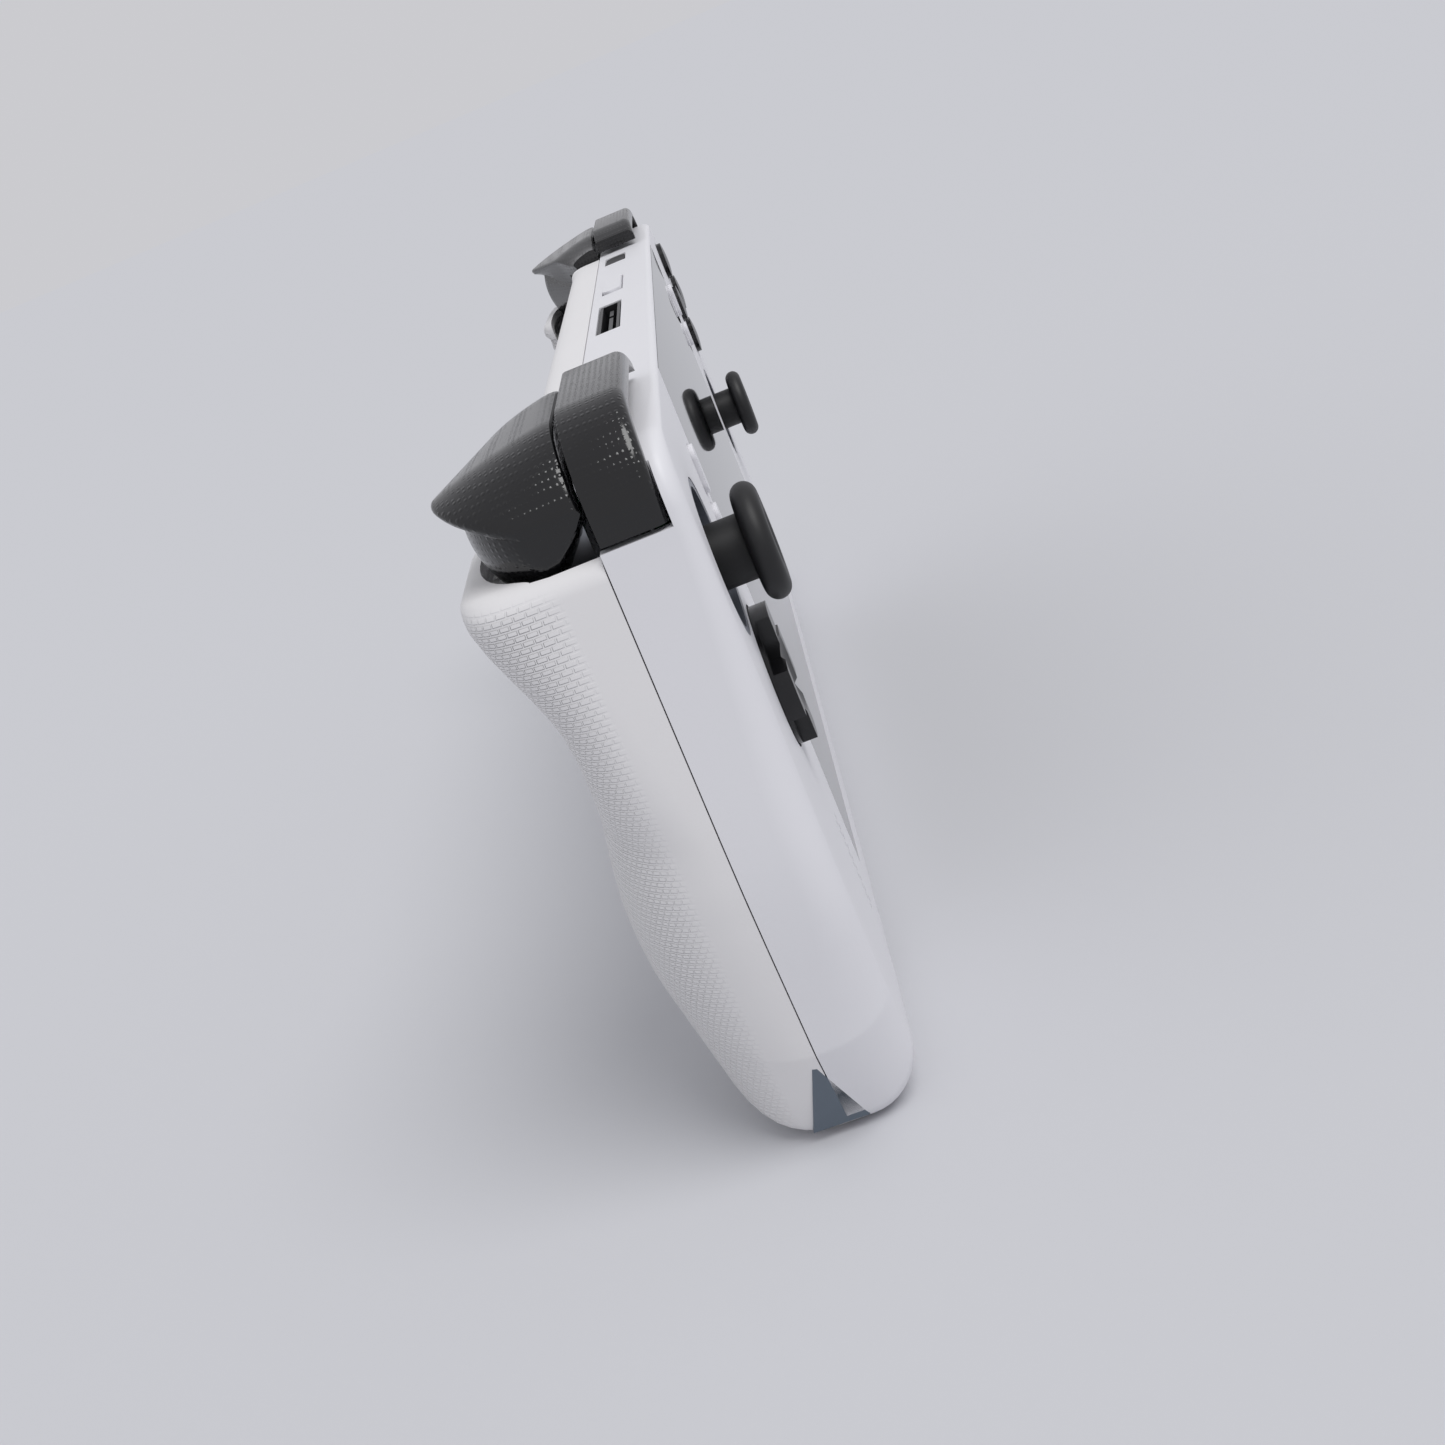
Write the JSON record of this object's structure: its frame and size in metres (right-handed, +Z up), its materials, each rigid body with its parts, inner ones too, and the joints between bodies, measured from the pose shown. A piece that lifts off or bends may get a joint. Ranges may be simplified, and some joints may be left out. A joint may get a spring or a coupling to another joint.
{
  "type": "handheld game controller with screen",
  "caption": "White two-grip handheld game controller with a wide glass screen, tilting thumbsticks, a direction pad, press buttons, hinged bumpers and triggers, and full internals",
  "frame": {"origin": "middle of the front face of the screen glass", "axes": "X to the player's right, Y from the front face to the back, Z up the screen, right-handed"},
  "size_m": [0.2794, 0.0424, 0.1119],
  "materials": {
    "shell": "fine white moulded plastic",
    "glass": "black cover glass, glossy",
    "panel": "display module",
    "frame": "pressed metal frame",
    "board": "circuit board",
    "copper": "copper plate and heat pipes",
    "battery": "wrapped battery pack",
    "dark": "black moulded plastic",
    "gloss": "gloss black plastic",
    "steel": "plain steel",
    "fins": "thin fins",
    "ring": "grey trim",
    "inset": "slate grey trim",
    "rubber": "silicone",
    "whitebtn": "white plastic button"
  },
  "bodies": {
    "case": {"front_shell": "shell", "back_shell": "shell", "screen_glass": "glass", "display_panel": "panel", "mid_frame": "frame", "mainboard": "board", "cooling_plate": "copper", "battery": "battery", "storage_drive": "board", "left_fan_housing": "dark", "right_fan_housing": "dark", "left_fin_stack": "fins", "right_fin_stack": "fins", "dock_port": "dark", "card_slot": "steel", "headphone_jack": "dark", "left_speaker": "dark", "right_speaker": "dark", "left_rumble_motor": "steel", "right_rumble_motor": "steel", "left_board": "board", "right_board": "board", "left_membrane": "rubber", "right_membrane": "rubber", "left_stick_ring": "ring", "right_stick_ring": "ring", "left_stick_housing": "steel", "right_stick_housing": "steel", "dpad_post": "dark", "trigger_brackets": "steel", "trigger_pins": "steel", "trigger_springs": "steel", "grip_insets": "inset", "screws": "steel"},
    "left_fan_rotor": {"left_fan": "dark"},
    "right_fan_rotor": {"right_fan": "dark"},
    "left_yoke": {"left_stick_yoke": "dark"},
    "left_pivot": {"left_stick_pivot": "dark"},
    "left_stick": {"left_thumbstick": "dark"},
    "right_yoke": {"right_stick_yoke": "dark"},
    "right_pivot": {"right_stick_pivot": "dark"},
    "right_stick": {"right_thumbstick": "dark"},
    "dpad_carrier": {"dpad_flange": "dark"},
    "dpad_pad": {"dpad": "dark"},
    "up": {"button_up": "dark"},
    "down": {"button_down": "dark"},
    "left": {"button_left": "dark"},
    "right": {"button_right": "dark"},
    "view": {"view_button": "whitebtn"},
    "menu": {"menu_button": "whitebtn"},
    "left_option": {"left_option_button": "whitebtn"},
    "right_option": {"right_option_button": "whitebtn"},
    "bumper_l": {"left_bumper": "gloss"},
    "bumper_r": {"right_bumper": "gloss"},
    "trigger_l": {"left_trigger": "gloss"},
    "trigger_r": {"right_trigger": "gloss"},
    "power": {"power_button": "dark"},
    "volume": {"volume_rocker": "whitebtn"},
    "rear_l": {"left_rear_button": "shell"},
    "rear_r": {"right_rear_button": "shell"}
  },
  "joints": [
    {"name": "left_stick_up_down", "type": "hinge", "parent": "case", "child": "left_yoke", "pos_m": [-0.1158, 0.009, 0.0242], "axis": [1, 0, 0], "range_deg": [-15, 15], "stiffness_Nm_per_rad": 0.05},
    {"name": "left_stick_left_right", "type": "hinge", "parent": "left_yoke", "child": "left_pivot", "pos_m": [-0.1158, 0.009, 0.0242], "axis": [0, 0, 1], "range_deg": [-15, 15], "stiffness_Nm_per_rad": 0.05},
    {"name": "left_stick_click", "type": "slide", "parent": "left_pivot", "child": "left_stick", "axis": [0, 1, 0], "range_m": [0, 0.0005], "stiffness_N_per_m": 800},
    {"name": "right_stick_up_down", "type": "hinge", "parent": "case", "child": "right_yoke", "pos_m": [0.1049, 0.009, -0.0031], "axis": [1, 0, 0], "range_deg": [-15, 15], "stiffness_Nm_per_rad": 0.05},
    {"name": "right_stick_left_right", "type": "hinge", "parent": "right_yoke", "child": "right_pivot", "pos_m": [0.1049, 0.009, -0.0031], "axis": [0, 0, 1], "range_deg": [-15, 15], "stiffness_Nm_per_rad": 0.05},
    {"name": "right_stick_click", "type": "slide", "parent": "right_pivot", "child": "right_stick", "axis": [0, 1, 0], "range_m": [0, 0.0005], "stiffness_N_per_m": 800},
    {"name": "dpad_up_down", "type": "hinge", "parent": "case", "child": "dpad_carrier", "pos_m": [-0.1054, 0.0044, 0.001], "axis": [1, 0, 0], "range_deg": [-4, 4], "stiffness_Nm_per_rad": 0.3},
    {"name": "dpad_left_right", "type": "hinge", "parent": "dpad_carrier", "child": "dpad_pad", "pos_m": [-0.1054, 0.0044, 0.001], "axis": [0, 0, 1], "range_deg": [-4, 4], "stiffness_Nm_per_rad": 0.3},
    {"name": "up_press", "type": "slide", "parent": "case", "child": "up", "axis": [0, 1, 0], "range_m": [0, 0.0012], "stiffness_N_per_m": 300},
    {"name": "down_press", "type": "slide", "parent": "case", "child": "down", "axis": [0, 1, 0], "range_m": [0, 0.0012], "stiffness_N_per_m": 300},
    {"name": "left_press", "type": "slide", "parent": "case", "child": "left", "axis": [0, 1, 0], "range_m": [0, 0.0012], "stiffness_N_per_m": 300},
    {"name": "right_press", "type": "slide", "parent": "case", "child": "right", "axis": [0, 1, 0], "range_m": [0, 0.0012], "stiffness_N_per_m": 300},
    {"name": "view_button_press", "type": "slide", "parent": "case", "child": "view", "axis": [0, 1, 0], "range_m": [0, 0.0004], "stiffness_N_per_m": 300},
    {"name": "menu_button_press", "type": "slide", "parent": "case", "child": "menu", "axis": [0, 1, 0], "range_m": [0, 0.0004], "stiffness_N_per_m": 300},
    {"name": "left_option_press", "type": "slide", "parent": "case", "child": "left_option", "axis": [0, 1, 0], "range_m": [0, 0.0004], "stiffness_N_per_m": 300},
    {"name": "right_option_press", "type": "slide", "parent": "case", "child": "right_option", "axis": [0, 1, 0], "range_m": [0, 0.0004], "stiffness_N_per_m": 300},
    {"name": "left_bumper_press", "type": "hinge", "parent": "case", "child": "bumper_l", "pos_m": [-0.091, 0.00775, 0.0479], "axis": [0, -1, 0], "range_deg": [0, 0.8], "stiffness_Nm_per_rad": 2},
    {"name": "right_bumper_press", "type": "hinge", "parent": "case", "child": "bumper_r", "pos_m": [0.091, 0.00775, 0.0479], "axis": [0, 1, 0], "range_deg": [0, 0.8], "stiffness_Nm_per_rad": 2},
    {"name": "left_trigger_pull", "type": "hinge", "parent": "case", "child": "trigger_l", "pos_m": [-0.1105, 0.0168, 0.0403], "axis": [-1, 0, 0], "range_deg": [0, 15], "stiffness_Nm_per_rad": 0.3, "springref_deg": -5.73},
    {"name": "right_trigger_pull", "type": "hinge", "parent": "case", "child": "trigger_r", "pos_m": [0.1105, 0.0168, 0.0403], "axis": [-1, 0, 0], "range_deg": [0, 15], "stiffness_Nm_per_rad": 0.3, "springref_deg": -5.73},
    {"name": "power_press", "type": "slide", "parent": "case", "child": "power", "axis": [0, 0, -1], "range_m": [0, 0.0004], "stiffness_N_per_m": 300},
    {"name": "volume_rock", "type": "hinge", "parent": "case", "child": "volume", "pos_m": [0.0278, 0.0086, 0.0445], "axis": [0, 1, 0], "range_deg": [-2, 2], "stiffness_Nm_per_rad": 0.5},
    {"name": "left_rear_press", "type": "slide", "parent": "case", "child": "rear_l", "axis": [0, -1, 0], "range_m": [0, 0.0008], "stiffness_N_per_m": 300},
    {"name": "right_rear_press", "type": "slide", "parent": "case", "child": "rear_r", "axis": [0, -1, 0], "range_m": [0, 0.0008], "stiffness_N_per_m": 300},
    {"name": "left_fan_spin", "type": "hinge", "parent": "case", "child": "left_fan_rotor", "pos_m": [-0.044, 0.016, 0.015], "axis": [0, 1, 0], "continuous": true},
    {"name": "right_fan_spin", "type": "hinge", "parent": "case", "child": "right_fan_rotor", "pos_m": [0.044, 0.016, 0.015], "axis": [0, 1, 0], "continuous": true}
  ]
}
